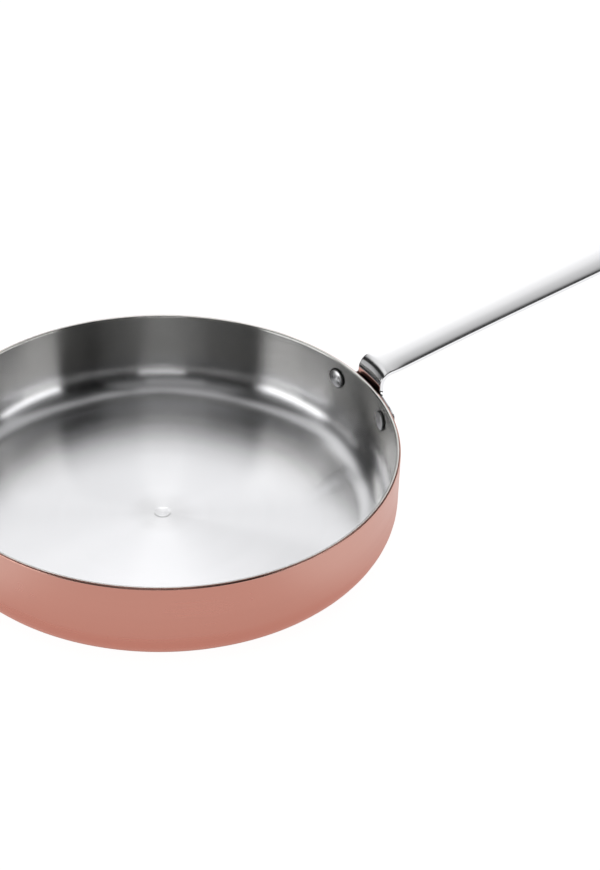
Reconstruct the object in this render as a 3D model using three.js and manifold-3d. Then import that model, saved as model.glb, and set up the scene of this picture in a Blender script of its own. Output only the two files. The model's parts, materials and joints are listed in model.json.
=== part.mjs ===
import * as THREE from 'three';
import { mergeVertices } from 'three/addons/utils/BufferGeometryUtils.js';
import Module from 'manifold-3d';

// A low, straight-sided saute pan: a drawn copper body, a steel lining bonded inside it,
// and one long handle bent from a steel strip and held to the wall by two rivets.
// Millimetres, +Z up. The origin is on the pan's axis at the base, and the handle points along +X.

// Pan body
const rimDiameter = 260;
const panHeight = 52;
const baseCornerRadius = 21;
const copperWall = 1;
const liningWall = 1.4;
const bondGap = 0.1;
const copperRimRound = 0.9;
const liningRimRound = 1.2;

// Rivets
const rivetSpacing = 50;
const rivetDepth = 11.3;
const shankDiameter = 5.5;
const headDiameter = 11.5;
const headHeight = 2.4;
const headEdge = 0.7;
const tailDiameter = 10;
const tailHeight = 1.9;
const tailEdge = 0.5;
const shankClearance = 0.15;
const seatGap = 0.2;

// Handle: the flange against the wall
const stripThickness = 2.7;
const stripEdge = 0.5;
const flangeGap = 0.3;
const flangeWidth = 66;
const flangeHeight = 14;
const flangeCornerRadius = 3;
const shoulderRise = 1.7;
const neckFilletRadius = 4;

// Handle: the riser, the bend and the bar
const riserGap = 1.6;
const joggleHeight = 5;
const bendHeight = 9.5;
const bendRadius = 9;
const barSlope = THREE.MathUtils.degToRad(12);
const barReach = 195;
const neckWidth = 23.6;
const waistWidth = 22.6;
const waistDistance = 90;
const barEndWidth = 25.2;
const barCrown = 1.2;
const crownPower = 2.4;
const crownRun = 10;
const hangHoleDiameter = 10;
const hangHoleInset = 15;
const tipAngle = THREE.MathUtils.degToRad(7);

// Smoothness of the faceted surfaces
const roundSteps = 80;
const arcSteps = 4;
const holeSteps = 28;
const rivetSteps = 20;
const acrossSteps = 8;
const bendSteps = 8;
const joggleSteps = 5;
const barSteps = 8;

// Sizes that follow from the ones above
const panRadius = rimDiameter / 2;
const wallThickness = copperWall + bondGap + liningWall;
const insideRadius = panRadius - wallThickness;
const flangeRadius = panRadius + flangeGap;
const riserRadius = panRadius + riserGap;
const rivetHeight = panHeight - rivetDepth;
const rivetAngle = Math.asin(rivetSpacing / 2 / panRadius);
const barEndX = panRadius + barReach;

const wasm = await Module();
wasm.setup();

// A closed geometry becomes a solid once its shared corners are one vertex each.
function solidOf(geometry) {
  const plain = geometry.clone();
  plain.deleteAttribute('normal');
  plain.deleteAttribute('uv');
  const merged = mergeVertices(plain);
  const corners = merged.index.array;
  const triangles = [];
  for (let i = 0; i < corners.length; i += 3) {
    const [a, b, c] = corners.slice(i, i + 3);
    if (a !== b && b !== c && c !== a) triangles.push(a, b, c);
  }
  return new wasm.Manifold(new wasm.Mesh({
    numProp: 3,
    vertProperties: Float32Array.from(merged.attributes.position.array),
    triVerts: Uint32Array.from(triangles),
  }));
}

function geometryOf(solid) {
  const mesh = solid.getMesh();
  const geometry = new THREE.BufferGeometry();
  geometry.setAttribute('position', new THREE.BufferAttribute(mesh.vertProperties, 3));
  geometry.setIndex(new THREE.BufferAttribute(mesh.triVerts, 1));
  geometry.computeVertexNormals();
  return geometry;
}

function drill(geometry, cutters) {
  let solid = solidOf(geometry);
  for (const cutter of cutters) solid = solid.subtract(solidOf(cutter));
  return geometryOf(solid);
}

// Revolve a profile of (radius, height) points round the pan's axis.
function revolve(profile, steps) {
  return new THREE.LatheGeometry(profile.getPoints(arcSteps), steps).rotateX(Math.PI / 2);
}

// A drawn cup: flat base, one round corner, straight wall. The sheet keeps its thickness all round,
// and its rim is rounded over towards the outside or the inside.
function cupProfile(radius, base, wall, cornerRadius, outerRound, innerRound) {
  const flatRadius = radius - cornerRadius;
  const cornerHeight = base + cornerRadius;
  const inner = radius - wall;
  const profile = new THREE.Path();
  profile.moveTo(0, base);
  profile.lineTo(flatRadius, base);
  profile.absarc(flatRadius, cornerHeight, cornerRadius, -Math.PI / 2, 0, false);
  profile.lineTo(radius, panHeight - outerRound);
  profile.quadraticCurveTo(radius, panHeight, radius - outerRound, panHeight);
  profile.lineTo(inner + innerRound, panHeight);
  profile.quadraticCurveTo(inner, panHeight, inner, panHeight - innerRound);
  profile.lineTo(inner, cornerHeight);
  profile.absarc(flatRadius, cornerHeight, cornerRadius - wall, 0, -Math.PI / 2, true);
  profile.lineTo(0, base + wall);
  return profile;
}

// A round cutter along a rivet's axis, through the wall and the flange only.
function rivetHole(side) {
  const radius = shankDiameter / 2 + shankClearance;
  const reach = 2 * (wallThickness + riserGap + stripThickness + headDiameter);
  return new THREE.CylinderGeometry(radius, radius, reach, holeSteps)
    .rotateZ(-Math.PI / 2)
    .translate(panRadius, 0, rivetHeight)
    .rotateZ(side * rivetAngle);
}

const rivetHoles = [rivetHole(1), rivetHole(-1)];

function copperBody() {
  const profile = cupProfile(panRadius, 0, copperWall, baseCornerRadius, copperRimRound, 0);
  return drill(revolve(profile, roundSteps), rivetHoles);
}

function steelLining() {
  const inset = copperWall + bondGap;
  const corner = baseCornerRadius - inset;
  const profile = cupProfile(panRadius - inset, inset, liningWall, corner, 0, liningRimRound);
  return drill(revolve(profile, roundSteps), rivetHoles);
}

// The rivet is turned about its own axis, then laid along the wall's radius.
// A flat head against the hollow wall touches at its rim, so it stands in by the wall's sag.
function rivet() {
  const headRadius = headDiameter / 2;
  const shankRadius = shankDiameter / 2;
  const tailRadius = tailDiameter / 2;
  const wallSag = insideRadius - Math.sqrt(insideRadius ** 2 - headRadius ** 2);
  const headSeat = insideRadius - wallSag - seatGap;
  const tailSeat = flangeRadius + stripThickness + seatGap;
  const headDome = domeRadius(headRadius, headHeight - headEdge);
  const tailDome = domeRadius(tailRadius, tailHeight - tailEdge);
  const headArc = Math.asin(headRadius / headDome);
  const tailArc = Math.asin(tailRadius / tailDome);
  const profile = new THREE.Path();
  profile.absarc(0, headSeat - headHeight + headDome, headDome, -Math.PI / 2, headArc - Math.PI / 2, false);
  profile.lineTo(headRadius, headSeat);
  profile.lineTo(shankRadius, headSeat);
  profile.lineTo(shankRadius, tailSeat);
  profile.lineTo(tailRadius, tailSeat);
  profile.absarc(0, tailSeat + tailHeight - tailDome, tailDome, Math.PI / 2 - tailArc, Math.PI / 2, false);
  const turned = new THREE.LatheGeometry(profile.getPoints(arcSteps), rivetSteps);
  return geometryOf(solidOf(turned.rotateZ(-Math.PI / 2)));
}

function domeRadius(radius, height) {
  return (radius ** 2 + height ** 2) / (2 * height);
}

// The strip's spine, seen from the side as (distance from the axis, height): up the wall, a step out
// to clear the rim, up again, round the bend and out along the bar.
function handleSpine() {
  const flangeBottom = rivetHeight - flangeHeight / 2;
  const flangeTop = rivetHeight + flangeHeight / 2;
  const riserStart = flangeTop + joggleHeight;
  const turn = Math.PI / 2 - barSlope;
  const tangent = bendRadius * Math.tan(turn / 2);
  const riserTop = panHeight + bendHeight - tangent;
  const bendCentre = new THREE.Vector2(riserRadius + bendRadius, riserTop);
  const barStart = new THREE.Vector2(
    bendCentre.x - bendRadius * Math.sin(barSlope),
    bendCentre.y + bendRadius * Math.cos(barSlope),
  );
  const barEnd = new THREE.Vector2(barEndX, barStart.y + (barEndX - barStart.x) * Math.tan(barSlope));
  const foot = new THREE.Vector2(flangeRadius, flangeBottom);
  const step = new THREE.Vector2(flangeRadius, flangeTop);
  const stepped = new THREE.Vector2(riserRadius, riserStart);
  const spine = new THREE.CurvePath();
  spine.add(new THREE.LineCurve(foot, step));
  spine.add(new THREE.CubicBezierCurve(
    step,
    new THREE.Vector2(flangeRadius, (flangeTop + riserStart) / 2),
    new THREE.Vector2(riserRadius, (flangeTop + riserStart) / 2),
    stepped,
  ));
  spine.add(new THREE.LineCurve(stepped, new THREE.Vector2(riserRadius, riserTop)));
  spine.add(new THREE.EllipseCurve(
    bendCentre.x, bendCentre.y, bendRadius, bendRadius, Math.PI, Math.PI / 2 + barSlope, true,
  ));
  spine.add(new THREE.LineCurve(barStart, barEnd));
  return spine;
}

// Half the outline of the flat blank, as (distance along the strip, half width): the flange with its
// round corners, the shoulder and fillet up to the neck, the waisted bar and its round end.
function blankOutline(length) {
  const halfFlange = flangeWidth / 2;
  const halfNeck = neckWidth / 2;
  const halfEnd = barEndWidth / 2;
  const corner = flangeCornerRadius;
  const filletStart = flangeHeight + shoulderRise;
  const filletEnd = filletStart + neckFilletRadius;
  const outline = new THREE.Path();
  outline.absarc(corner, halfFlange - corner, corner, Math.PI, Math.PI / 2, true);
  outline.absarc(flangeHeight - corner, halfFlange - corner, corner, Math.PI / 2, 0, true);
  outline.lineTo(filletStart, halfNeck + neckFilletRadius);
  outline.absarc(filletEnd, halfNeck + neckFilletRadius, neckFilletRadius, Math.PI, Math.PI * 1.5, false);
  outline.splineThru([
    new THREE.Vector2(waistDistance, waistWidth / 2),
    new THREE.Vector2(length - halfEnd, halfEnd),
  ]);
  outline.absarc(length - halfEnd, 0, halfEnd, Math.PI / 2, tipAngle, true);
  return outline.getPoints(arcSteps);
}

function halfWidthAt(outline, along) {
  const next = outline.findIndex((point) => point.x >= along);
  if (next < 1) return outline[next < 0 ? outline.length - 1 : 0].y;
  const from = outline[next - 1];
  const to = outline[next];
  return THREE.MathUtils.mapLinear(along, from.x, to.x, from.y, to.y);
}

// Distances along the strip where a section is needed: wherever the outline or the spine turns.
function stationsAlong(outline, spine) {
  const [flange, joggle, riser, bend, bar] = spine.curves.map((curve) => curve.getLength());
  const bendStart = flange + joggle + riser;
  const barStart = bendStart + bend;
  const last = outline[outline.length - 1].x;
  const stations = outline.map((point) => point.x);
  for (let i = 0; i <= joggleSteps; i += 1) stations.push(flange + joggle * i / joggleSteps);
  for (let i = 0; i <= bendSteps; i += 1) stations.push(bendStart + bend * i / bendSteps);
  for (let i = 1; i <= barSteps; i += 1) stations.push(barStart + crownRun * i / barSteps);
  for (let i = 1; i < barSteps; i += 1) stations.push(barStart + bar * i / barSteps);
  const leastStep = stripThickness / 20;
  const sorted = stations.filter((along) => along <= last).sort((a, b) => a - b);
  const kept = sorted.filter((along, i) => i === 0 || along - sorted[i - 1] > leastStep);
  return { stations: kept, bendStart, crownEnd: barStart + crownRun };
}

// One section of the strip as (across, out) points: the show face from the right edge to the left,
// then the back face to the right again. Out is measured from the show face's crest.
function stripSection(halfWidth) {
  const flat = halfWidth - stripEdge;
  const chamfer = stripEdge * (1 - Math.SQRT1_2);
  const back = -stripThickness;
  const section = [[-halfWidth, -stripEdge], [chamfer - halfWidth, -chamfer]];
  for (let i = 0; i <= acrossSteps; i += 1) section.push([flat * (2 * i / acrossSteps - 1), 0]);
  section.push([halfWidth - chamfer, -chamfer], [halfWidth, -stripEdge]);
  section.push([halfWidth, back + stripEdge], [halfWidth - chamfer, back + chamfer]);
  for (let i = 0; i <= acrossSteps; i += 1) section.push([flat * (1 - 2 * i / acrossSteps), back]);
  section.push([chamfer - halfWidth, back + chamfer], [-halfWidth, back + stripEdge]);
  return section;
}

// Join rings of equal length into one closed surface. Each end is closed by quads across the section.
function loft(rings) {
  const count = rings[0].length;
  const faces = [];
  const quad = (a, b, c, d) => faces.push(a, b, c, a, c, d);
  for (let r = 0; r < rings.length - 1; r += 1) {
    for (let i = 0; i < count; i += 1) {
      const a = r * count + i;
      const b = r * count + (i + 1) % count;
      quad(a, a + count, b + count, b);
    }
  }
  const last = (rings.length - 1) * count;
  for (let i = 0; i < count / 2 - 1; i += 1) {
    const [a, b, c, d] = [i, i + 1, count - 2 - i, count - 1 - i];
    quad(a, b, c, d);
    quad(last + d, last + c, last + b, last + a);
  }
  const geometry = new THREE.BufferGeometry();
  geometry.setAttribute('position', new THREE.Float32BufferAttribute(rings.flat(2), 3));
  geometry.setIndex(faces);
  return geometry;
}

// The blank is bent along its spine, rolled round the pan's wall at the flange, and pressed to a
// crown along the bar. The roll fades and the crown grows from the bend to the end of the crown's run.
function handle() {
  const spine = handleSpine();
  const length = spine.getLength();
  const outline = blankOutline(length);
  const { stations, bendStart, crownEnd } = stationsAlong(outline, spine);
  const rings = stations.map((along) => {
    const at = spine.getPoint(along / length);
    const direction = spine.getTangent(along / length);
    const fade = THREE.MathUtils.smoothstep(along, bendStart, crownEnd);
    const roll = (1 - fade) / at.x;
    const fullHalf = halfWidthAt(outline, Math.min(along, length - barEndWidth / 2));
    return stripSection(halfWidthAt(outline, along)).map(([across, out]) => {
      const press = fade * barCrown * (Math.abs(across) / fullHalf) ** crownPower;
      const x = at.x - direction.y * (out - press);
      const z = at.y + direction.x * (out - press);
      if (roll === 0) return [x, across, z];
      const centre = at.x - 1 / roll;
      return [centre + (x - centre) * Math.cos(across * roll), (x - centre) * Math.sin(across * roll), z];
    });
  });
  const hangAt = spine.getPoint((length - hangHoleInset) / length);
  const hangHole = new THREE.CylinderGeometry(
    hangHoleDiameter / 2, hangHoleDiameter / 2, 4 * (stripThickness + barCrown), holeSteps,
  );
  hangHole.rotateX(Math.PI / 2).rotateY(-barSlope).translate(hangAt.x, 0, hangAt.y);
  return drill(loft(rings), [...rivetHoles, hangHole]);
}

const copper = new THREE.MeshStandardMaterial({ color: 0xc8907f, metalness: 1, roughness: 0.3 });
const spunSteel = new THREE.MeshStandardMaterial({ color: 0xc8c8ca, metalness: 1, roughness: 0.38 });
const polishedSteel = new THREE.MeshStandardMaterial({ color: 0xdcdcde, metalness: 1, roughness: 0.12 });

function piece(name, geometry, material) {
  const mesh = new THREE.Mesh(geometry, material);
  mesh.name = name;
  return mesh;
}

const pan = new THREE.Group();
pan.add(piece('copper_body', copperBody(), copper));
pan.add(piece('steel_lining', steelLining(), spunSteel));
pan.add(piece('handle', handle(), polishedSteel));
for (const [name, side] of [['rivet_left', 1], ['rivet_right', -1]]) {
  const placed = piece(name, rivet(), polishedSteel);
  placed.rotation.z = side * rivetAngle;
  placed.position.z = rivetHeight;
  pan.add(placed);
}

export default pan;
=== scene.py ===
# %% [markdown]
# # A low copper saute pan
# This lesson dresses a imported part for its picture. The part is a copper pan with a steel lining and
# one long steel handle, held on by two rivets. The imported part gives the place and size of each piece,
# so nothing is fitted by eye. First the frame is loaded and its box is kept for the end.

# %% Load the frame
import json
import math

import bmesh
import bpy
from mathutils import Matrix, Vector

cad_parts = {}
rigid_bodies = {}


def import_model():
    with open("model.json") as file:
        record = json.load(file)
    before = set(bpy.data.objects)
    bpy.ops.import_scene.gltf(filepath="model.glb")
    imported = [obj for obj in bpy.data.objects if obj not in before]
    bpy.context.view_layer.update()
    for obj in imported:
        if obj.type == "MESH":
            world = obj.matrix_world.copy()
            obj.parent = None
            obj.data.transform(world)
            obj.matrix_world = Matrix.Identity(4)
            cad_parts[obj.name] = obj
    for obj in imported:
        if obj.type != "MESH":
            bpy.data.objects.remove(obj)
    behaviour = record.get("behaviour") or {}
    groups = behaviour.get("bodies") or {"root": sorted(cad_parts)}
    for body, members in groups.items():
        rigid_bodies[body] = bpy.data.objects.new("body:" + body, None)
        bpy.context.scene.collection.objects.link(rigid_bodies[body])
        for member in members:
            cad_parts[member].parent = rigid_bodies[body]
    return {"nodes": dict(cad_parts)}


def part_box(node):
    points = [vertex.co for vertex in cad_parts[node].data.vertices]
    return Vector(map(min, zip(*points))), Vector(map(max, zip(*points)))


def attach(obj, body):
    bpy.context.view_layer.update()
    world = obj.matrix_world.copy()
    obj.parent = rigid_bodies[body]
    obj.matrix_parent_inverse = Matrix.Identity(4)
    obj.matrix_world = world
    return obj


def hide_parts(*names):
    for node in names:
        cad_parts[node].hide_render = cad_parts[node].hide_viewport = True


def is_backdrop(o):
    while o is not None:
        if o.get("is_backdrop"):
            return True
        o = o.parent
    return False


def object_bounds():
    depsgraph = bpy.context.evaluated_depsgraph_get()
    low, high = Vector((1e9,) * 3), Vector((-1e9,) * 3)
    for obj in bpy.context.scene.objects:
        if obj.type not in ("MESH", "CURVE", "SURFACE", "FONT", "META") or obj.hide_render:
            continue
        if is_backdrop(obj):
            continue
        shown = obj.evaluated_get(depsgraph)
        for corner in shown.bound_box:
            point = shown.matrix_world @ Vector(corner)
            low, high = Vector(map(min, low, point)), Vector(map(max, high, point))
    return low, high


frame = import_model()
cad_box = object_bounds()
print("nodes:", ", ".join(sorted(frame["nodes"])))
print("box in mm:", [round(1000 * side, 1) for side in cad_box[1] - cad_box[0]])

# %% [markdown]
# ## Lines with round corners
# Pressed and turned metal has no perfectly sharp corner: each one has a small radius, and that radius
# catches the light. A bevel modifier could round the finished mesh, but it struggles where a corner is
# large. Here each outline is a list of corners with a radius of its own, and this helper swaps a corner
# for an arc. Lengths are written in millimetres and turned into metres at the end.

# %% A helper for round corners
mm = 0.001


def rounded_line(corners, arc_steps):
    points = []
    for i, (x, y, radius) in enumerate(corners):
        here = Vector((x, y))
        if radius == 0:
            points.append(here)
            continue
        before = (Vector(corners[i - 1][:2]) - here).normalized()
        after = (Vector(corners[i + 1][:2]) - here).normalized()
        half = before.angle(after) / 2
        centre = here + (before + after).normalized() * (radius / math.sin(half))
        start = here + before * (radius / math.tan(half)) - centre
        end = here + after * (radius / math.tan(half)) - centre
        sweep = start.angle(end)
        for k in range(arc_steps + 1):
            t = k / arc_steps
            spoke = start * math.sin((1 - t) * sweep) + end * math.sin(t * sweep)
            points.append(centre + spoke / math.sin(sweep))
    return points


print("a square corner of radius 1:", [tuple(round(v, 2) for v in p) for p in rounded_line(
    [(0, 0, 0), (5, 0, 1), (5, 5, 0)], 2)])

# %% [markdown]
# ## Turning on the lathe
# The pan is drawn from a disc and then spun on a lathe, so its body is one profile turned about an
# axis. Blender's spin does just that. A screw modifier would also work, but spin leaves a plain mesh
# that can be measured and exported. The weighted normal modifier lets the large faces decide the
# shading, so that a small round edge doesn't bend the reflections of the flat face beside it.

# %% Helpers that turn a profile and finish a mesh
def finish_piece(name, shape):
    bmesh.ops.recalc_face_normals(shape, faces=shape.faces)
    for face in shape.faces:
        face.smooth = True
    mesh = bpy.data.meshes.new(name)
    shape.to_mesh(mesh)
    shape.free()
    piece = bpy.data.objects.new(name, mesh)
    bpy.context.scene.collection.objects.link(piece)
    return piece


def even_shading(piece):
    shading = piece.modifiers.new("even_shading", "WEIGHTED_NORMAL")
    shading.weight = 100


def turn_profile(profile, steps):
    shape = bmesh.new()
    line = [shape.verts.new((p.x * mm, 0, p.y * mm)) for p in profile]
    edges = [shape.edges.new(pair) for pair in zip(line, line[1:])]
    bmesh.ops.spin(shape, geom=line + edges, cent=(0, 0, 0), axis=(0, 0, 1),
                   angle=math.tau, steps=steps, use_merge=True)
    bmesh.ops.remove_doubles(shape, verts=shape.verts, dist=1e-7)
    return shape


test_ring = turn_profile([Vector((10, 0)), Vector((10, 5))], 12)
print("a short tube turned in 12 steps has", len(test_ring.faces), "faces")
test_ring.free()

# %% [markdown]
# ## The copper body
# A flat base, one large corner and a straight wall. The rim was cut and then rounded over on a buffing
# wheel, across the copper and the lining together, so one half circle runs over both. The copper takes
# its outer part. The outside sizes are read from the frame.

# %% Turn the copper body
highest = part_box("copper_body")[1]
rim_radius = highest.y / mm
pan_height = highest.z / mm
copper_wall = 1.0
lining_wall = 1.5
corner_radius = 21.0
inside_copper = rim_radius - copper_wall
inside_radius = inside_copper - lining_wall
rim_round = (copper_wall + lining_wall) / 2
rim_seam = math.acos((inside_copper - inside_radius) / rim_round - 1)


def rim_arc(start, end, steps):
    arc = []
    for k in range(steps + 1):
        a = start + (end - start) * k / steps
        reach, rise = rim_round * (1 + math.cos(a)), rim_round * (1 - math.sin(a))
        arc.append(Vector((inside_radius + reach, pan_height - rise)))
    return arc


copper_outside = rounded_line([
    (0, 0, 0),
    (rim_radius, 0, corner_radius),
    (rim_radius, pan_height, 0),
], 12)[:-1]
copper_inside = rounded_line([
    (inside_copper, pan_height, 0),
    (inside_copper, copper_wall, corner_radius - copper_wall),
    (0, copper_wall, 0),
], 12)[1:]
copper_profile = copper_outside + rim_arc(0, rim_seam, 14) + copper_inside
copper_body = finish_piece("copper_pan", turn_profile(copper_profile, 240))
even_shading(copper_body)
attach(copper_body, "root")
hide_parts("copper_body")
print("copper body:", round(2 * rim_radius, 1), "mm across,", len(copper_body.data.polygons), "faces")

# %% [markdown]
# ## The steel lining
# Steel is rolled onto the copper sheet before the pan is drawn, so the lining follows the copper without
# a gap. On the rounded rim it takes more than half of the width, and the copper is a narrow band outside
# it. The lathe's centre leaves a shallow round mark in the middle of the floor, which is part of the
# profile here.

# %% Turn the lining
floor_height = copper_wall + lining_wall
mark_outer = 5.2
mark_inner = 3.6
mark_depth = 0.15

lining_inside = rounded_line([
    (inside_radius, pan_height, 0),
    (inside_radius, floor_height, corner_radius - floor_height),
    (mark_outer, floor_height, 0),
], 16)[1:]
lining_profile = copper_inside[::-1] + rim_arc(rim_seam, math.pi, 18) + lining_inside
for k in range(1, 11):
    sink = mark_depth * (1 - math.cos(math.pi * k / 10)) / 2
    lining_profile.append(Vector((mark_outer + (mark_inner - mark_outer) * k / 10, floor_height - sink)))
lining_profile.append(Vector((0, floor_height - mark_depth)))
steel_lining = finish_piece("steel_lining_skin", turn_profile(lining_profile, 240))
even_shading(steel_lining)
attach(steel_lining, "root")
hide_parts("steel_lining")
print("lining:", lining_wall, "mm thick, floor", round(floor_height, 1), "mm above the base")

# %% [markdown]
# ## The rivets
# Each rivet is turned too: a low dome with a short upright edge inside the pan, a shank through the
# wall, and a smaller closed head on the handle's flange. It is turned upright and then laid along the
# wall's radius. Heights along the rivet are distances from the pan's axis.

# %% Turn the rivets and lay them in the wall
rivet_spacing = 50
rivet_height = pan_height - 11.3
rivet_angle = math.asin(rivet_spacing / 2 / rim_radius)
shank_radius = 2.75
head_seat = 127.17
head_radius = 5.75
head_edge = 0.8
head_dome = 1.6
tail_seat = 133.2
tail_radius = 5.0
tail_edge = 0.6
tail_dome = 1.3
dome_inset = 0.2


def dome(radius, height, top, steps):
    ball = (radius ** 2 + height ** 2) / (2 * height)
    sweep = math.asin(radius / ball)
    points = []
    for k in range(steps + 1):
        angle = sweep * k / steps
        points.append(Vector((ball * math.sin(angle), top + ball * math.cos(angle) - ball)))
    return points


def rivet_profile():
    head_top = head_seat - head_edge - head_dome
    head_round = dome(head_radius - dome_inset, head_dome, head_top, 10)
    head = [Vector((p.x, 2 * head_top - p.y)) for p in head_round]
    middle = rounded_line([
        (head_radius - dome_inset, head_seat - head_edge, 0),
        (head_radius, head_seat - head_edge + dome_inset / 2, 0.12),
        (head_radius, head_seat, 0.1),
        (shank_radius, head_seat, 0),
        (shank_radius, tail_seat, 0),
        (tail_radius, tail_seat, 0.1),
        (tail_radius, tail_seat + tail_edge - dome_inset / 2, 0.12),
        (tail_radius - dome_inset, tail_seat + tail_edge, 0),
    ], 4)
    tail = dome(tail_radius - dome_inset, tail_dome, tail_seat + tail_edge + tail_dome, 10)
    return head + middle[1:-1] + tail[::-1]


rivets = []
for name, side in (("rivet_left", 1), ("rivet_right", -1)):
    rivet = finish_piece(name + "_turned", turn_profile(rivet_profile(), 64))
    lay = Matrix.Rotation(math.pi / 2, 4, "Y")
    turn_round = Matrix.Rotation(side * rivet_angle, 4, "Z")
    rivet.data.transform(Matrix.Translation((0, 0, rivet_height * mm)) @ turn_round @ lay)
    even_shading(rivet)
    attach(rivet, "root")
    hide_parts(name)
    rivets.append(rivet)

# %% [markdown]
# ## The handle's path
# The handle is one strip of steel. Seen from the side it climbs the wall, steps out to clear the rim,
# climbs again, turns through a tight bend and runs outwards at 12 degrees. This function gives the
# place and direction of the strip's show face at any distance along it. A Blender curve could carry
# the path, but a function keeps the exact lengths that the outline below is cut to.

# %% Follow the strip from the side
flange_gap = 0.3
riser_gap = 1.6
flange_radius = rim_radius + flange_gap
riser_radius = rim_radius + riser_gap
flange_height = 14.0
flange_bottom = rivet_height - flange_height / 2
joggle_rise = 5.0
bend_radius = 9.0
bend_above_rim = 9.5
bar_slope = math.radians(12)
bar_reach = 195
end_inset = 0.1
bend_turn = math.pi / 2 - bar_slope
riser_top = pan_height + bend_above_rim - bend_radius * math.tan(bend_turn / 2)
bar_end_x = rim_radius + bar_reach


def joggle_point(t):
    ease = 3 * t * t - 2 * t ** 3
    rise = 1.5 * t * (1 - t) + t ** 3
    return Vector((flange_radius + (riser_radius - flange_radius) * ease,
                   flange_bottom + flange_height + joggle_rise * rise))


joggle_points = [joggle_point(k / 60) for k in range(61)]
joggle_length = sum((b - a).length for a, b in zip(joggle_points, joggle_points[1:]))
riser_length = riser_top - joggle_points[-1].y
bend_length = bend_radius * bend_turn
bend_start = flange_height + joggle_length + riser_length
bar_start = bend_start + bend_length
bend_centre = Vector((riser_radius + bend_radius, riser_top))
bar_foot = bend_centre + bend_radius * Vector((-math.sin(bar_slope), math.cos(bar_slope)))
strip_length = bar_start + (bar_end_x - bar_foot.x) / math.cos(bar_slope) - end_inset


def strip_path(along):
    if along <= flange_height:
        return Vector((flange_radius, flange_bottom + along)), Vector((0, 1))
    if along <= flange_height + joggle_length:
        left = along - flange_height
        for a, b in zip(joggle_points, joggle_points[1:]):
            step = (b - a).length
            if left <= step:
                break
            left -= step
        return a + (b - a) * min(left / step, 1), (b - a).normalized()
    if along <= bend_start:
        return Vector((riser_radius, riser_top - (bend_start - along))), Vector((0, 1))
    if along <= bar_start:
        angle = (along - bend_start) / bend_radius
        spoke = Vector((-math.cos(angle), math.sin(angle)))
        return bend_centre + bend_radius * spoke, Vector((math.sin(angle), math.cos(angle)))
    direction = Vector((math.cos(bar_slope), math.sin(bar_slope)))
    return bar_foot + direction * (along - bar_start), direction


print("strip length:", round(strip_length, 1), "mm")
print("bend from", round(bend_start, 1), "to", round(bar_start, 1), "mm along the strip")

# %% [markdown]
# ## The blank
# Before it is bent, the handle is a flat blank: a wide flange with round corners, a shoulder, a fillet
# into the neck, a slightly waisted bar and a round end. Half of the outline is listed as rows, each with
# a distance along the strip, a half width, and the direction in which the edge faces. The rows stand
# closer together where the strip bends and near the hanging hole.

# %% List the rows of the blank
half_flange = 33.0
flange_corner = 3.0
shoulder_rise = 1.7
neck_fillet = 4.0
half_neck = 11.8
half_waist = 11.3
waist_at = 90.0
half_end = 12.6
fine_end = 34.0
fillet_end = flange_height + shoulder_rise + neck_fillet
round_start = strip_length - half_end


def bar_half_width(along):
    if along < waist_at:
        before, first, second, after = half_neck, half_neck, half_waist, half_end
        t = (along - fillet_end) / (waist_at - fillet_end)
    else:
        before, first, second, after = half_neck, half_waist, half_end, half_end
        t = (along - waist_at) / (round_start - waist_at)
    leave, arrive = (second - before) / 2, (after - first) / 2
    curve = (2 * first - 2 * second + leave + arrive) * t ** 3
    return curve + (3 * second - 3 * first - 2 * leave - arrive) * t ** 2 + leave * t + first


def arc_rows(along, half, radius, start, end, steps, inward=1):
    rows = []
    for k in range(steps + 1):
        angle = math.radians(start + (end - start) * k / steps)
        c, s = math.cos(angle), math.sin(angle)
        rows.append((along + radius * c, half + radius * s, inward * c, inward * s))
    return rows


def blank_rows():
    rows = arc_rows(flange_corner, half_flange - flange_corner, flange_corner, 180, 90, 8)
    rows += [(5.0, half_flange, 0, 1), (8.0, half_flange, 0, 1)]
    rows += arc_rows(flange_height - flange_corner, half_flange - flange_corner, flange_corner, 90, 8, 8)
    face = Vector((half_flange - flange_corner - half_neck - neck_fillet, shoulder_rise)).normalized()
    for k in range(1, 10):
        t = k / 10
        half = half_flange - flange_corner + (half_neck + neck_fillet - half_flange + flange_corner) * t
        rows.append((flange_height + shoulder_rise * t, half, face.x, face.y))
    rows += arc_rows(fillet_end, half_neck + neck_fillet, neck_fillet, 180, 270, 10, -1)
    stops = [fillet_end + (bar_start - fillet_end) * k / 24 for k in range(1, 25)]
    stops += [bar_start + k for k in range(1, 13)]
    while stops[-1] < strip_length - fine_end:
        stops.append(stops[-1] + 3)
    while stops[-1] < round_start - 1:
        stops.append(stops[-1] + 1)
    rows += [(along, bar_half_width(along), 0, 1) for along in stops]
    return rows + arc_rows(round_start, 0, half_end, 90, 3, 24)


rows = blank_rows()
waist = 2 * min(r[1] for r in rows if 40 < r[0] < 150)
print("blank:", len(rows), "rows,", round(waist, 1), "mm at the waist")

# %% [markdown]
# ## Edges and hole
# The blank's edges were rounded by tumbling. Each row is pulled in along the direction that its edge
# faces, a little more for each of the rings from the side to the flat, so the rounding follows the
# whole outline. The hanging hole is punched while the blank is flat. A boolean could cut it, but it
# would leave slivers that shade badly on polished metal, so the grid is laid out round the hole.

# %% Lay out the outline and the hole
strip_thickness = 2.7
strip_edge = 0.5
edge_rings = 5
evenly = [2 * j / 26 - 1 for j in range(27)]
across = [math.sin(math.pi / 2 * t) * 0.35 + t * 0.65 for t in evenly]
hole_inset = 15
hole_radius = 5.0
patch_half = 8
hole_at = strip_length + end_inset - hole_inset
patch_first = max(i for i, row in enumerate(rows) if row[0] < hole_at - patch_half)
patch_last = min(i for i, row in enumerate(rows) if row[0] > hole_at + patch_half)


def grid_row(row, pull):
    along, half, face_along, face_across = row
    return [(along - pull * face_along, (half - pull * face_across) * t) for t in across]


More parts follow.
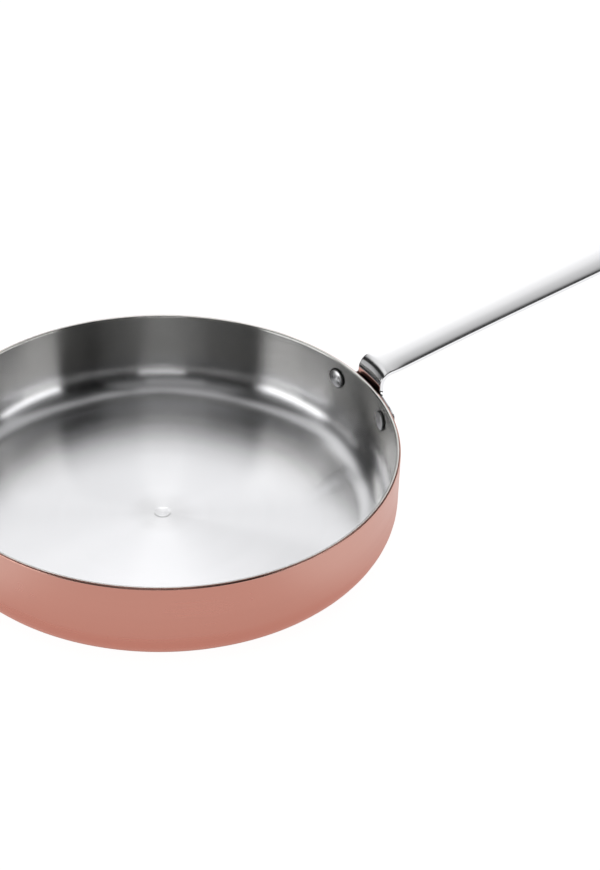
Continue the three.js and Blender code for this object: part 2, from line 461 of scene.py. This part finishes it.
def loop_round(grid):
    sides = grid[1:-1]
    return grid[0] + [row[-1] for row in sides] + grid[-1][::-1] + [row[0] for row in sides[::-1]]


def edge_loop(pull):
    return loop_round([grid_row(row, pull) for row in rows])


def hole_loop(grow):
    loop = []
    patch = [grid_row(row, strip_edge) for row in rows[patch_first:patch_last + 1]]
    for along, width in loop_round(patch):
        spoke = Vector((along - hole_at, width)).normalized() * (hole_radius + grow)
        loop.append((hole_at + spoke.x, spoke.y))
    return loop


print("outline of", len(edge_loop(0)), "points, hole of", len(hole_loop(0)))

# %% [markdown]
# The flat blank is then two faces, one rounded edge round the outline and one round the hole. Each
# face is a grid, apart from a patch round the hole where rings lead from the grid to the hole's edge.

# %% Build the flat blank
def skin_between(shape, first, second):
    for i in range(len(first)):
        j = (i + 1) % len(first)
        shape.faces.new((first[i], first[j], second[j], second[i]))


def flat_face(shape, out):
    grid = [[shape.verts.new((*p, out)) for p in grid_row(row, strip_edge)] for row in rows]
    for i, (upper, lower) in enumerate(zip(grid, grid[1:])):
        if patch_first <= i < patch_last:
            continue
        for j in range(len(across) - 1):
            shape.faces.new((upper[j], upper[j + 1], lower[j + 1], lower[j]))
    outer = loop_round(grid[patch_first:patch_last + 1])
    inner = [shape.verts.new((*p, out)) for p in hole_loop(strip_edge)]
    last = outer
    for k in range(1, 5):
        ring = [shape.verts.new(a.co.lerp(b.co, k / 5)) for a, b in zip(outer, inner)]
        skin_between(shape, last, ring)
        last = ring
    skin_between(shape, last, inner)


def flat_blank():
    shape = bmesh.new()
    flat_face(shape, 0)
    flat_face(shape, -strip_thickness)
    turns = [math.pi / 2 * k / edge_rings for k in range(edge_rings + 1)]
    levels = [(strip_edge * (1 - math.sin(a)), -strip_edge * (1 - math.cos(a))) for a in turns]
    levels += [(pull, -strip_thickness - out) for pull, out in levels[::-1]]
    for loop_at in (edge_loop, hole_loop):
        rings = [[shape.verts.new((*p, out)) for p in loop_at(pull)] for pull, out in levels]
        for upper, lower in zip(rings, rings[1:]):
            skin_between(shape, upper, lower)
    bmesh.ops.remove_doubles(shape, verts=shape.verts, dist=1e-5)
    return shape


handle = finish_piece("handle_strip", flat_blank())
print("flat blank:", len(handle.data.polygons), "faces, hole", 2 * hole_radius, "mm")

# %% [markdown]
# ## Forming
# Now the blank is formed. Along the flange it is rolled round the pan's axis, so that it lies on the
# wall. Along the bar it is pressed to a shallow crown, which makes the strip stiff and comfortable.
# Between the two, from the bend on, the roll fades out and the crown fades in.

# %% Bend, roll and press the blank
bar_crown = 1.2
crown_power = 2.4
crown_end = bar_start + 10


def formed(along, width, out):
    place, direction = strip_path(along)
    t = min(max((along - bend_start) / (crown_end - bend_start), 0), 1)
    fade = t * t * (3 - 2 * t)
    full_half = bar_half_width(min(max(along, fillet_end), round_start))
    lift = out - fade * bar_crown * (abs(width) / full_half) ** crown_power
    x = place.x - direction.y * lift
    z = place.y + direction.x * lift
    roll = (1 - fade) / place.x
    if roll < 1e-6:
        return Vector((x, width, z)) * mm
    centre = place.x - 1 / roll
    radius, turn = x - centre, width * roll
    return Vector((centre + radius * math.cos(turn), radius * math.sin(turn), z)) * mm


for corner in handle.data.vertices:
    corner.co = formed(*corner.co)
handle.data.update()
even_shading(handle)
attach(handle, "root")
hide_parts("handle")
print("handle reaches", round(max(v.co.x for v in handle.data.vertices) / mm, 1), "mm from the axis")

# %% [markdown]
# ## Finishes: small tools
# A finish is a network of small nodes: sums, noises and groups that several finishes share. These helpers
# add one node each and hand back its output, so that the finishes below read like short recipes.

# %% Helpers for nodes
def new_group(name, inputs, outputs):
    group = bpy.data.node_groups.new(name, "ShaderNodeTree")
    for label, value in inputs:
        socket = group.interface.new_socket(label, in_out="INPUT", socket_type="NodeSocketFloat")
        socket.default_value = value
    for label in outputs:
        group.interface.new_socket(label, in_out="OUTPUT", socket_type="NodeSocketFloat")
    return group, group.nodes.new("NodeGroupInput"), group.nodes.new("NodeGroupOutput")


def add_math(tree, operation, first, second):
    node = tree.nodes.new("ShaderNodeMath")
    node.operation = operation
    for socket, value in zip(node.inputs, (first, second)):
        if isinstance(value, bpy.types.NodeSocket):
            tree.links.new(value, socket)
        else:
            socket.default_value = value
    return node.outputs[0]


def add_noise(tree, vector, scale, detail, roughness=0.55):
    node = tree.nodes.new("ShaderNodeTexNoise")
    tree.links.new(vector, node.inputs["Vector"])
    if isinstance(scale, bpy.types.NodeSocket):
        tree.links.new(scale, node.inputs["Scale"])
    else:
        node.inputs["Scale"].default_value = scale
    node.inputs["Detail"].default_value = detail
    node.inputs["Roughness"].default_value = roughness
    return node.outputs["Fac"]


print("node helpers ready")

# %% [markdown]
# ## Finishes: what the lathe leaves
# A spun pan is polished while it turns, so every scratch is a circle. This group makes such lines from
# two numbers, the distance from the axis and the height, which are the same all round the pan. A noise
# of those two numbers is therefore a set of rings. Several finishes use it, so it is a node group.

# %% A node group for rings
ring_sizes = [("Fine", 900.0), ("Broad", 110.0)]
rings_group, given, result = new_group("turned_rings", ring_sizes, ["Fine", "Broad", "Radius"])
where = rings_group.nodes.new("ShaderNodeTexCoord").outputs["Object"]
parts = rings_group.nodes.new("ShaderNodeSeparateXYZ")
rings_group.links.new(where, parts.inputs[0])
squares = [add_math(rings_group, "MULTIPLY", parts.outputs[i], parts.outputs[i]) for i in (0, 1)]
from_axis = add_math(rings_group, "SQRT", add_math(rings_group, "ADD", *squares), 0)
pair = rings_group.nodes.new("ShaderNodeCombineXYZ")
rings_group.links.new(from_axis, pair.inputs["X"])
rings_group.links.new(from_axis, result.inputs["Radius"])
rings_group.links.new(parts.outputs["Z"], pair.inputs["Y"])
for label, detail in (("Fine", 3), ("Broad", 2)):
    lines = add_noise(rings_group, pair.outputs[0], given.outputs[label], detail)
    rings_group.links.new(lines, result.inputs[label])
print("group:", rings_group.name, [s.name for s in rings_group.interface.items_tree])

# %% [markdown]
# ## Finishes: handling
# Metal that has been picked up shows faint soft patches where it is a little duller. They are a slow
# noise, bent by a second one so that the patches look wiped rather than round.

# %% A node group for wiped patches
wipe_group, given, result = new_group("wiped_patches", [("Size", 22.0), ("Sweep", 0.03)], ["Dullness"])
where = wipe_group.nodes.new("ShaderNodeTexCoord").outputs["Object"]
swirl = add_noise(wipe_group, where, 9.0, 1)
shift = wipe_group.nodes.new("ShaderNodeVectorMath")
shift.operation = "SCALE"
shift.inputs[0].default_value = (1.0, 0.6, 0.3)
wipe_group.links.new(add_math(wipe_group, "MULTIPLY", swirl, given.outputs["Sweep"]), shift.inputs["Scale"])
moved = wipe_group.nodes.new("ShaderNodeVectorMath")
wipe_group.links.new(where, moved.inputs[0])
wipe_group.links.new(shift.outputs[0], moved.inputs[1])
patches = add_noise(wipe_group, moved.outputs[0], given.outputs["Size"], 4, 0.6)
wipe_group.links.new(patches, result.inputs["Dullness"])
print("group:", wipe_group.name)

# %% [markdown]
# ## Materials
# Each finish is a Principled shader with full metallic, because bare metal has no other colour than its
# reflection. The helpers below place a group, blend two colours by a mask, spread a mask over a range
# of values, and turn lines into a very shallow bump.

# %% Helpers for the materials
def new_finish(name, anisotropic):
    material = bpy.data.materials.new(name)
    material.use_nodes = True
    tree = material.node_tree
    shader = tree.nodes["Principled BSDF"]
    shader.inputs["Metallic"].default_value = 1
    shader.inputs["Anisotropic"].default_value = anisotropic
    shader.inputs["Anisotropic Rotation"].default_value = 0.25
    return material, tree, shader


def place_group(tree, group, **values):
    node = tree.nodes.new("ShaderNodeGroup")
    node.node_tree = group
    for label, value in values.items():
        node.inputs[label].default_value = value
    return node


def blend_colours(tree, mask, first, second):
    node = tree.nodes.new("ShaderNodeMix")
    node.data_type = "RGBA"
    tree.links.new(mask, node.inputs["Factor"])
    for label, colour in (("A", first), ("B", second)):
        socket = next(s for s in node.inputs if s.name == label and s.type == "RGBA")
        if isinstance(colour, bpy.types.NodeSocket):
            tree.links.new(colour, socket)
        else:
            socket.default_value = (*colour, 1)
    return next(s for s in node.outputs if s.type == "RGBA")


def spread(tree, mask, low_in, high_in, low_out, high_out):
    node = tree.nodes.new("ShaderNodeMapRange")
    node.interpolation_type = "SMOOTHSTEP"
    tree.links.new(mask, node.inputs["Value"])
    node.inputs["From Min"].default_value = low_in
    node.inputs["From Max"].default_value = high_in
    node.inputs["To Min"].default_value = low_out
    node.inputs["To Max"].default_value = high_out
    return node.outputs["Result"]


def scratch(tree, shader, height, strength, depth):
    node = tree.nodes.new("ShaderNodeBump")
    node.inputs["Strength"].default_value = strength
    node.inputs["Distance"].default_value = depth
    tree.links.new(height, node.inputs["Height"])
    tree.links.new(node.outputs[0], shader.inputs["Normal"])


print("material helpers ready")

# %% [markdown]
# Painted shade, heat and the grain follow the pan's own shape. These helpers give a point's place in the
# pan, its distance from the nearer rivet and the direction round the axis. For the rivets the pan is folded
# along its middle, so that one point stands for both.

# %% Helpers for places on the pan
def place_in_pan(tree):
    node = tree.nodes.new("ShaderNodeSeparateXYZ")
    tree.links.new(tree.nodes.new("ShaderNodeTexCoord").outputs["Object"], node.inputs[0])
    return node.outputs


def from_rivet(tree):
    place = place_in_pan(tree)
    folded = tree.nodes.new("ShaderNodeCombineXYZ")
    tree.links.new(place["X"], folded.inputs["X"])
    tree.links.new(add_math(tree, "ABSOLUTE", place["Y"], 0), folded.inputs["Y"])
    tree.links.new(place["Z"], folded.inputs["Z"])
    node = tree.nodes.new("ShaderNodeVectorMath")
    node.operation = "DISTANCE"
    tree.links.new(folded.outputs[0], node.inputs[0])
    seat = Vector((math.cos(rivet_angle), math.sin(rivet_angle), 0)) * inside_radius
    node.inputs[1].default_value = (seat + Vector((0, 0, rivet_height))) * mm
    return node.outputs["Value"]


def grain_round_axis(tree, shader):
    node = tree.nodes.new("ShaderNodeTangent")
    node.direction_type = "RADIAL"
    node.axis = "Z"
    tree.links.new(node.outputs[0], shader.inputs["Tangent"])


print("rivets sit", round(rivet_height, 1), "mm above the base")

# %% [markdown]
# ### Satin copper
# The outside was polished with a soft wheel as the pan turned: warm, even, with very fine rings and a slow
# change of tone. The rim was buffed a little smoother. The lowest part of the corner is painted darker:
# painted shade, the floor's contact shadow mirrored in the copper.

# %% Copper
copper, tree, shader = new_finish("satin_copper", 0.35)
rings = place_group(tree, rings_group, Fine=2600.0, Broad=150.0)
wiped = place_group(tree, wipe_group, Size=14.0)
tone = blend_colours(tree, wiped.outputs["Dullness"], (0.585, 0.315, 0.262), (0.615, 0.345, 0.288))
place = place_in_pan(tree)
# painted shade: the lowest part of the corner is darkened, standing for the contact shadow it mirrors
contact_shade = spread(tree, place["Z"], 4.0 * mm, 8.0 * mm, 0.75, 0)
tree.links.new(blend_colours(tree, contact_shade, tone, (0.30, 0.13, 0.09)), shader.inputs["Base Color"])
buffed = spread(tree, place["Z"], 50.8 * mm, 51.3 * mm, 0, -0.05)
by_ring = spread(tree, rings.outputs["Broad"], 0.3, 0.7, -0.02, 0.02)
by_hand = spread(tree, wiped.outputs["Dullness"], 0.3, 0.7, 0.27, 0.33)
satin = add_math(tree, "ADD", by_ring, by_hand)
tree.links.new(add_math(tree, "ADD", satin, buffed), shader.inputs["Roughness"])
scratch(tree, shader, rings.outputs["Fine"], 0.05, 0.00004)
grain_round_axis(tree, shader)
copper_body.data.materials.append(copper)
print("finish:", copper.name)

# %% [markdown]
# ### Spun steel
# The lining's rings are coarser and stretch each reflection outwards from the axis. Anisotropy does that
# stretching, and the bump breaks it into lines. Near the axis the tool slows, so the middle is a little
# darker. Heat has left a trace of straw colour on the wall. A nearly black ring round each rivet head is
# painted shade, standing for the gap under the head.

# %% Spun steel
spun, tree, shader = new_finish("spun_steel", 1.0)
rings = place_group(tree, rings_group, Fine=1500.0, Broad=220.0)
wiped = place_group(tree, wipe_group, Size=10.0)
bright = blend_colours(tree, rings.outputs["Broad"], (0.755, 0.757, 0.775), (0.815, 0.817, 0.835))
straw = spread(tree, place_in_pan(tree)["Z"], 10 * mm, 30 * mm, 0, 0.7)
bright = blend_colours(tree, straw, bright, (0.775, 0.765, 0.725))
middle = spread(tree, rings.outputs["Radius"], 8 * mm, 22 * mm, 0.5, 0)
bright = blend_colours(tree, middle, bright, (0.68, 0.68, 0.69))
# painted shade: a nearly black ring round each rivet head, standing for the gap under it
groove_shade = spread(tree, from_rivet(tree), 5.8 * mm, 6.6 * mm, 0.9, 0)
tree.links.new(blend_colours(tree, groove_shade, bright, (0.04, 0.04, 0.04)), shader.inputs["Base Color"])
by_ring = spread(tree, rings.outputs["Broad"], 0.35, 0.65, -0.006, 0.006)
by_hand = spread(tree, wiped.outputs["Dullness"], 0.3, 0.7, 0.188, 0.204)
tree.links.new(add_math(tree, "ADD", by_ring, by_hand), shader.inputs["Roughness"])
scratch(tree, shader, rings.outputs["Fine"], 0.15, 0.00004)
grain_round_axis(tree, shader)
steel_lining.data.materials.append(spun)
print("finish:", spun.name)

# %% [markdown]
# ### Polished steel
# The bar was buffed lengthwise on a belt and then polished, which leaves hair lines along it. They are a
# noise squeezed along the handle's own direction. Where the strip stands close to the wall below the rim,
# it is painted nearly black: painted shade in the gap.

# %% Polished steel for the handle
polished, tree, shader = new_finish("polished_steel", 0)
squeeze = tree.nodes.new("ShaderNodeMapping")
squeeze.inputs["Scale"].default_value = (30, 1800, 30)
tree.links.new(tree.nodes.new("ShaderNodeTexCoord").outputs["Object"], squeeze.inputs["Vector"])
hair = add_noise(tree, squeeze.outputs[0], 1.0, 3)
wiped = place_group(tree, wipe_group, Size=30.0)
clean = blend_colours(tree, wiped.outputs["Dullness"], (0.80, 0.80, 0.815), (0.86, 0.86, 0.87))
rings = place_group(tree, rings_group)
# painted shade: the strip is nearly black where it stands close to the wall below the rim
below_rim = spread(tree, place_in_pan(tree)["Z"], 51.0 * mm, 52.4 * mm, 0.94, 0)
at_wall = spread(tree, rings.outputs["Radius"], 131.8 * mm, 132.4 * mm, 1, 0)
gap_shade = add_math(tree, "MULTIPLY", below_rim, at_wall)
tree.links.new(blend_colours(tree, gap_shade, clean, (0.02, 0.015, 0.012)), shader.inputs["Base Color"])
tree.links.new(spread(tree, wiped.outputs["Dullness"], 0.3, 0.75, 0.09, 0.16), shader.inputs["Roughness"])
scratch(tree, shader, hair, 0.04, 0.00002)
handle.data.materials.append(polished)
print("finish:", polished.name)

# %% [markdown]
# ### Tumbled rivets
# Rivets are tumbled in a drum before they are set, so they are bright but lightly dented all over. The edge
# of each head inside the pan is painted nearly black: painted shade in the groove under the head.

# %% Rivet steel
tumbled, tree, shader = new_finish("tumbled_steel", 0)
wiped = place_group(tree, wipe_group, Size=120.0)
dents = add_noise(tree, tree.nodes.new("ShaderNodeTexCoord").outputs["Object"], 700, 2)
bright = blend_colours(tree, wiped.outputs["Dullness"], (0.74, 0.74, 0.75), (0.86, 0.86, 0.87))
rings = place_group(tree, rings_group)
# painted shade: the edge of each head inside the pan is nearly black, standing for the groove under it
inside = spread(tree, rings.outputs["Radius"], 127.6 * mm, 128.2 * mm, 1, 0)
head_edge_shade = spread(tree, from_rivet(tree), 5.0 * mm, 5.7 * mm, 0, 0.92)
groove_shade = add_math(tree, "MULTIPLY", inside, head_edge_shade)
tree.links.new(blend_colours(tree, groove_shade, bright, (0.04, 0.04, 0.04)), shader.inputs["Base Color"])
tree.links.new(spread(tree, wiped.outputs["Dullness"], 0.3, 0.7, 0.26, 0.36), shader.inputs["Roughness"])
scratch(tree, shader, dents, 0.1, 0.00005)
for rivet in rivets:
    rivet.data.materials.append(tumbled)
print("finish:", tumbled.name)

# %% [markdown]
# ## The camera
# The picture is taken from 1.19 m, about 35 degrees above the table, with the handle turned away to the
# right. The camera first looks at the middle of the rim, and is then turned a little to the side, so
# that the pan runs out of the picture on the left and the handle on the right.

# %% Place the camera
handle_turn = math.radians(26.328)
camera_rise = math.radians(34.838)
camera_distance = 1.19445
camera_pan = math.radians(-3.597)
camera_tip = math.radians(0.093)
camera_roll = math.radians(-0.288)
focal_pixels = 2191.63
picture_height = 870

swing = Matrix.Rotation(-handle_turn, 3, "Z")
towards_camera = swing @ Vector((0, -math.cos(camera_rise), math.sin(camera_rise)))
to_right = swing @ Vector((1, 0, 0))
up_in_picture = towards_camera.cross(to_right)
look = Matrix((to_right, up_in_picture, towards_camera)).transposed()
aside = (Matrix.Rotation(camera_pan, 3, "Y")
         @ Matrix.Rotation(camera_tip, 3, "X")
         @ Matrix.Rotation(camera_roll, 3, "Z"))
lens = bpy.data.cameras.new("camera")
lens.lens = focal_pixels / picture_height * lens.sensor_width
camera = bpy.data.objects.new("camera", lens)
rim_middle = Vector((0, 0, pan_height * mm))
stand = Matrix.Translation(rim_middle + towards_camera * camera_distance)
camera.matrix_world = stand @ (look @ aside).to_4x4()
bpy.context.scene.collection.objects.link(camera)
bpy.context.scene.camera = camera
print("camera at", [round(v, 3) for v in camera.location], "lens", round(lens.lens, 1), "mm")

# %% [markdown]
# ## The floor
# The pan stands on a white floor that reads as white in the picture. A white colour alone would need more
# light than the pan should get, so part of the floor's brightness is given only to rays that come from the
# camera or from a shiny surface. The rest is plain diffuse white, which keeps the soft shadow under the
# pan. The copper throws warm light on the floor round it, and the metal shows that again, so for shiny
# surfaces the floor's glow is tinted in front of the pan and close to it: painted warm light, and close to
# the pan a darker painted shade. Under the pan shiny surfaces see no glow, which is a painted shadow.

# %% Lay the floor
floor_half = 3.0
floor_sink = 0.0002
floor_shape = bmesh.new()
bmesh.ops.create_grid(floor_shape, x_segments=24, y_segments=24, size=floor_half)
floor = finish_piece("floor", floor_shape)
floor.location.z = -floor_sink
floor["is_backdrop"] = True

# %% [markdown]
# The floor's paint mixes the matt white with the white of its own. The masks say how far a spot lies from
# the pan's axis and how far to its side.

# %% Paint the floor
own_white = 0.7
glow_strength = 1.36
paint = bpy.data.materials.new("white_floor")
paint.use_nodes = True
tree = paint.node_tree
matt = tree.nodes.new("ShaderNodeBsdfDiffuse")
matt.inputs["Color"].default_value = (0.93, 0.93, 0.93, 1)
glow = tree.nodes.new("ShaderNodeEmission")
glow.inputs["Strength"].default_value = glow_strength
path = tree.nodes.new("ShaderNodeLightPath")
spot = tree.nodes.new("ShaderNodeTexCoord").outputs["Object"]


def floor_distance(operation, direction=(0, 0, 0)):
    node = tree.nodes.new("ShaderNodeVectorMath")
    node.operation = operation
    tree.links.new(spot, node.inputs[0])
    if operation == "DOT_PRODUCT":
        node.inputs[1].default_value = direction
    return node.outputs["Value"]


from_pan = floor_distance("LENGTH")
sideways = add_math(tree, "ABSOLUTE", floor_distance("DOT_PRODUCT", to_right), 0)
by_metal = add_math(tree, "MAXIMUM", path.outputs["Is Glossy Ray"], path.outputs["Is Transmission Ray"])
# painted light and shade seen only by shiny surfaces: warm in front of the pan, darker and warmer close to
# it
in_front = add_math(tree, "MULTIPLY", by_metal, spread(tree, sideways, 0.1, 0.145, 1, 0))
close_by = add_math(tree, "MULTIPLY", by_metal, spread(tree, from_pan, 0.12, 0.175, 1, 0))
warm = blend_colours(tree, in_front, (1, 1, 1), (0.86, 0.70, 0.66))
tree.links.new(blend_colours(tree, close_by, warm, (0.78, 0.52, 0.46)), glow.inputs["Color"])
# painted shadow: under the pan, shiny surfaces see the floor without its glow
beside_pan = spread(tree, from_pan, 0.112, 0.124, 0, 1)
mirrored = add_math(tree, "MULTIPLY", by_metal, beside_pan)
looked_at = add_math(tree, "MAXIMUM", path.outputs["Is Camera Ray"], mirrored)
mixed = tree.nodes.new("ShaderNodeMixShader")
tree.links.new(add_math(tree, "MULTIPLY", looked_at, own_white), mixed.inputs["Fac"])
tree.links.new(matt.outputs[0], mixed.inputs[1])
tree.links.new(glow.outputs[0], mixed.inputs[2])
tree.links.new(mixed.outputs[0], tree.nodes["Material Output"].inputs["Surface"])
floor.data.materials.append(paint)
print("floor:", floor.dimensions.x, "m wide,", round(100 * own_white), "% of its white is its own")

# %% [markdown]
# ## The studio
# Polished metal shows what stands round it, so the studio is planned for its reflections. It is a ring
# of panels, each given by a bearing, a width, a height and a brightness, all seen from the pan. Lamps
# could stand there, but they would show in other views, so the panels are painted on the world, one
# over the other. Bearing 0 is straight behind the pan, 90 is to its right and 180 is the camera.

# %% A helper that paints a panel on the world
world = bpy.data.worlds.new("studio")
bpy.context.scene.world = world
world.use_nodes = True
tree = world.node_tree
sky = tree.nodes["Background"]
sky.inputs["Color"].default_value = (1, 1, 1, 1)
facing = tree.nodes.new("ShaderNodeTexCoord").outputs["Generated"]


def how_far(direction):
    node = tree.nodes.new("ShaderNodeVectorMath")
    node.operation = "DOT_PRODUCT"
    tree.links.new(facing, node.inputs[0])
    node.inputs[1].default_value = direction
    return node.outputs["Value"]


level_seen = add_math(tree, "ARCSINE", how_far((0, 0, 1)), 0)


def step_at(value, degrees, soft, before, after):
    edge, half = math.radians(degrees), math.radians(soft) / 2
    return spread(tree, value, edge - half, edge + half, before, after)


def paint_panel(light, bearing, half_width, side_soft, bottom, top, level_soft, brightness):
    turn = math.radians(bearing)
    front = how_far(swing @ Vector((math.sin(turn), math.cos(turn), 0)))
    side = how_far(swing @ Vector((math.cos(turn), -math.sin(turn), 0)))
    off_bearing = add_math(tree, "ABSOLUTE", add_math(tree, "ARCTAN2", side, front), 0)
    mask = step_at(off_bearing, half_width, side_soft, 1, 0)
    mask = add_math(tree, "MULTIPLY", mask, step_at(level_seen, bottom, level_soft, 0, 1))
    mask = add_math(tree, "MULTIPLY", mask, step_at(level_seen, top, level_soft, 1, 0))
    node = tree.nodes.new("ShaderNodeMix")
    node.data_type = "FLOAT"
    tree.links.new(mask, node.inputs["Factor"])
    if isinstance(light, bpy.types.NodeSocket):
        tree.links.new(light, node.inputs["A"])
    else:
        node.inputs["A"].default_value = light
    node.inputs["B"].default_value = brightness
    return node.outputs["Result"]


print("one bearing and one height per direction")

# %% [markdown]
# The room is dark, so that the pan's wall is dark too. A white strip and a soft box behind the pan light
# its floor, and the boxes at both sides put bright crescents in the round corner. A grey card low on the
# left shows in the handle's bend, and a white board low on the right shows in the rim. A black flag cuts
# a dark band into the wall. A ray that comes straight from the camera sees plain white.

# %% Paint the studio
panels = [
    # bearing, half width, its soft edge, bottom, top, their soft edge, brightness
    ("ceiling", 0, 200, 10, 72, 120, 10, 0.53),
    ("gap in the ceiling", 6, 50, 12, 60, 120, 10, 0.02),
    ("wall behind", 0, 32, 6, -90, 33, 8, 0.5),
    ("white strip on the wall", 0, 34, 8, 31, 40, 4, 1.0),
    ("grey wall on the left", -63, 22, 8, 37, 73, 8, 0.65),
    ("white card on the left", -46, 24, 6, 37, 51, 6, 0.9),
    ("grey wall on the right", 69, 22, 10, 36, 75, 10, 0.53),
    ("soft box behind", -1, 15, 6, 38.5, 69, 6, 1.85),
    ("grey card low on the left", -80, 12, 4, -10, 22, 3, 0.5),
    ("white board low on the right", 62, 40, 8, -20, 8, 3, 1.2),
    ("soft box on the left", -111, 19, 10, 4, 26, 10, 2.4),
    ("soft box on the right", 113, 19, 6, 10, 24.5, 10, 2.1),
    ("wall over the camera", 188, 44, 8, 43, 74, 8, 0.19),
    ("lamp over the camera", 188, 17, 8, 40, 53, 8, 0.42),
    ("card in front", 180, 11, 4, 10.5, 16, 3, 2.0),
    ("black flag", 138, 9, 2, -90, 80, 4, 0.0),
]
dark_room = 0.02
light = dark_room
for name, *values in panels:
    light = paint_panel(light, *values)
camera_ray = tree.nodes.new("ShaderNodeLightPath").outputs["Is Camera Ray"]
tree.links.new(add_math(tree, "MAXIMUM", light, camera_ray), sky.inputs["Strength"])
bpy.context.scene.view_settings.view_transform = "Standard"
print("studio:", ", ".join(name for name, *values in panels))

# %% [markdown]
# ## A card for the bar
# Photographers hang a card near a shiny part, so that the part shows the card and not the room. One such
# card hangs over the bar, white at its foot and fading to black at its top, which gives the bar a white
# far half and a grey near half. Only mirrored rays that start near the card see it, so the pan doesn't.

# %% A material for the card
card_distance = 120
card_reach = 1.2 * card_distance
board = bpy.data.materials.new("graded_card")
board.use_nodes = True
board.cycles.emission_sampling = "NONE"
tree = board.node_tree
shade = tree.nodes.new("ShaderNodeAttribute")
shade.attribute_name = "shade"
lit = tree.nodes.new("ShaderNodeEmission")
tree.links.new(shade.outputs["Fac"], lit.inputs["Strength"])
ray = tree.nodes.new("ShaderNodeLightPath")
near_ray = add_math(tree, "LESS_THAN", ray.outputs["Ray Length"], card_reach * mm)
mixed = tree.nodes.new("ShaderNodeMixShader")
tree.links.new(add_math(tree, "MULTIPLY", near_ray, ray.outputs["Is Glossy Ray"]), mixed.inputs["Fac"])
tree.links.new(tree.nodes.new("ShaderNodeBsdfTransparent").outputs[0], mixed.inputs[1])
tree.links.new(lit.outputs[0], mixed.inputs[2])
tree.links.new(mixed.outputs[0], tree.nodes["Material Output"].inputs["Surface"])
print("card seen by mirrored rays of up to", card_reach, "mm")

# %% [markdown]
# The card is part of a tube round the bar, from just under level to nearly overhead. Each height has its
# own shade, kept in the mesh, and the heights between two listed ones are blended.

# %% Hang the card
card_bearing = math.radians(-4)
shades = [(-10, 1.3), (37, 1.2), (53, 0.72), (65, 0.52), (72, 0.0), (78, 0.0)]
slant = Vector((math.cos(bar_slope), 0, math.sin(bar_slope)))
bar_places = [Vector((bar_foot.x, 0, bar_foot.y)) + slant * 10 * k for k in range(-4, 22)]


def shade_at(level):
    for (low, first), (high, second) in zip(shades, shades[1:]):
        if level <= high:
            return first + (second - first) * (level - low) / (high - low)


card_shape = bmesh.new()
shade_layer = card_shape.verts.layers.float.new("shade")
card_rows = []
for level in range(shades[0][0], shades[-1][0] + 1):
    flat, lift = math.cos(math.radians(level)), math.sin(math.radians(level))
    away = swing @ Vector((math.sin(card_bearing) * flat, math.cos(card_bearing) * flat, lift))
    card_rows.append([card_shape.verts.new((spot + card_distance * away) * mm) for spot in bar_places])
    for corner in card_rows[-1]:
        corner[shade_layer] = shade_at(level)
for below, above in zip(card_rows, card_rows[1:]):
    for k in range(len(bar_places) - 1):
        card_shape.faces.new((below[k], below[k + 1], above[k + 1], above[k]))
card = finish_piece("card_over_bar", card_shape)
card.data.materials.append(board)
card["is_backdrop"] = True
print(card.name + ":", len(card.data.polygons), "faces,", card_distance, "mm away")

# %% [markdown]
# ## Sizes
# The imported part's box and the dressed part's box are both printed. The dressed part has to stay inside
# the imported part's box.

# %% Print both boxes
visual_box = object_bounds()
for name, box in (("packed", cad_box), ("dressed", visual_box)):
    print(name, [[round(v / mm, 2) for v in corner] for corner in box])
